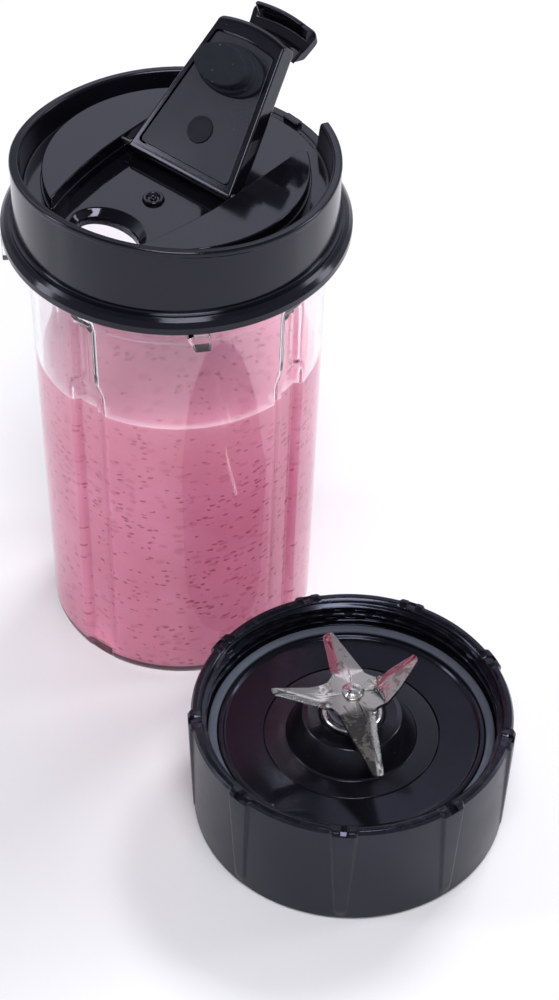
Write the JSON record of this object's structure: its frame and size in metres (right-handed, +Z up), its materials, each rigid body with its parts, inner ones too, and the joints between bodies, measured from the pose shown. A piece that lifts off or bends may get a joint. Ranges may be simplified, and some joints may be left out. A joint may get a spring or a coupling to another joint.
{
  "type": "personal blender cup set",
  "caption": "Personal blender set: clear travel cup with a screw-on flip-top drinking lid, and a separate screw-on blade base with a star-shaped cutter.",
  "frame": {"origin": "centre of the cup's base, on the table", "axes": "+Z up along the cup's axis; the blade base stands towards +X and -Y; the drinking spout points to azimuth 227 degrees"},
  "size_m": [0.1414, 0.1818, 0.1921],
  "materials": {
    "clear_plastic": "clear glossy copolyester with a faint lilac edge",
    "gloss_black": "polished moulded black plastic with fine handling scratches",
    "satin_black": "satin moulded black plastic",
    "black_rubber": "matte blue-black elastomer with dust specks",
    "grey_silicone": "blue-grey silicone, slightly satin",
    "blade_steel": "worn stamped stainless steel with stains, scratches and a ground serrated edge",
    "steel": "bright turned stainless steel",
    "bronze": "sintered bronze",
    "black_nylon": "matte black nylon"
  },
  "bodies": {
    "cup": {"cup_body": "clear_plastic"},
    "lid_seal": {"lid_gasket": "grey_silicone"},
    "lid": {"lid_shell": "gloss_black", "hinge_pin": "steel"},
    "flip": {"flip_cap": "gloss_black", "flip_cap_panel": "satin_black", "spout_stopper": "black_rubber", "vent_plug": "black_rubber"},
    "blade_base": {"base_housing": "gloss_black", "base_gasket": "grey_silicone", "blade_hub": "gloss_black", "hub_o_ring": "black_rubber", "hub_nut": "black_nylon", "upper_bushing": "steel", "bearing_spacer": "steel", "lower_bushing": "bronze", "shaft_seal": "grey_silicone"},
    "rotor": {"drive_shaft": "steel", "blade_spacer": "steel", "blade_set": "blade_steel", "thrust_washer": "black_nylon", "retaining_clip": "steel", "drive_coupling": "black_nylon"}
  },
  "joints": [
    {"name": "lid_rise", "type": "slide", "parent": "cup", "child": "lid_seal", "axis": [0, 0, 1], "range_m": [0, 0.016]},
    {"name": "lid_turn", "type": "hinge", "parent": "lid_seal", "child": "lid", "pos_m": [0, 0, 0.15], "axis": [0, 0, 1], "range_deg": [0, 900]},
    {"name": "flip_hinge", "type": "hinge", "parent": "lid", "child": "flip", "pos_m": [0.00169, 0.00184, 0.1598], "axis": [-0.7361, 0.6769, 0], "range_deg": [-135.4, 24]},
    {"name": "base_lift", "type": "slide", "parent": "cup", "child": "blade_base", "axis": [0, 0, 1], "range_m": [0, 0.06]},
    {"name": "blade_spin", "type": "hinge", "parent": "blade_base", "child": "rotor", "pos_m": [0.0472, -0.0866, 0.02], "axis": [0, 0, 1], "continuous": true}
  ],
  "couplings": [
    {"joint": "lid_rise", "follows": "lid_turn", "m_per_rad": 0.0010186}
  ]
}
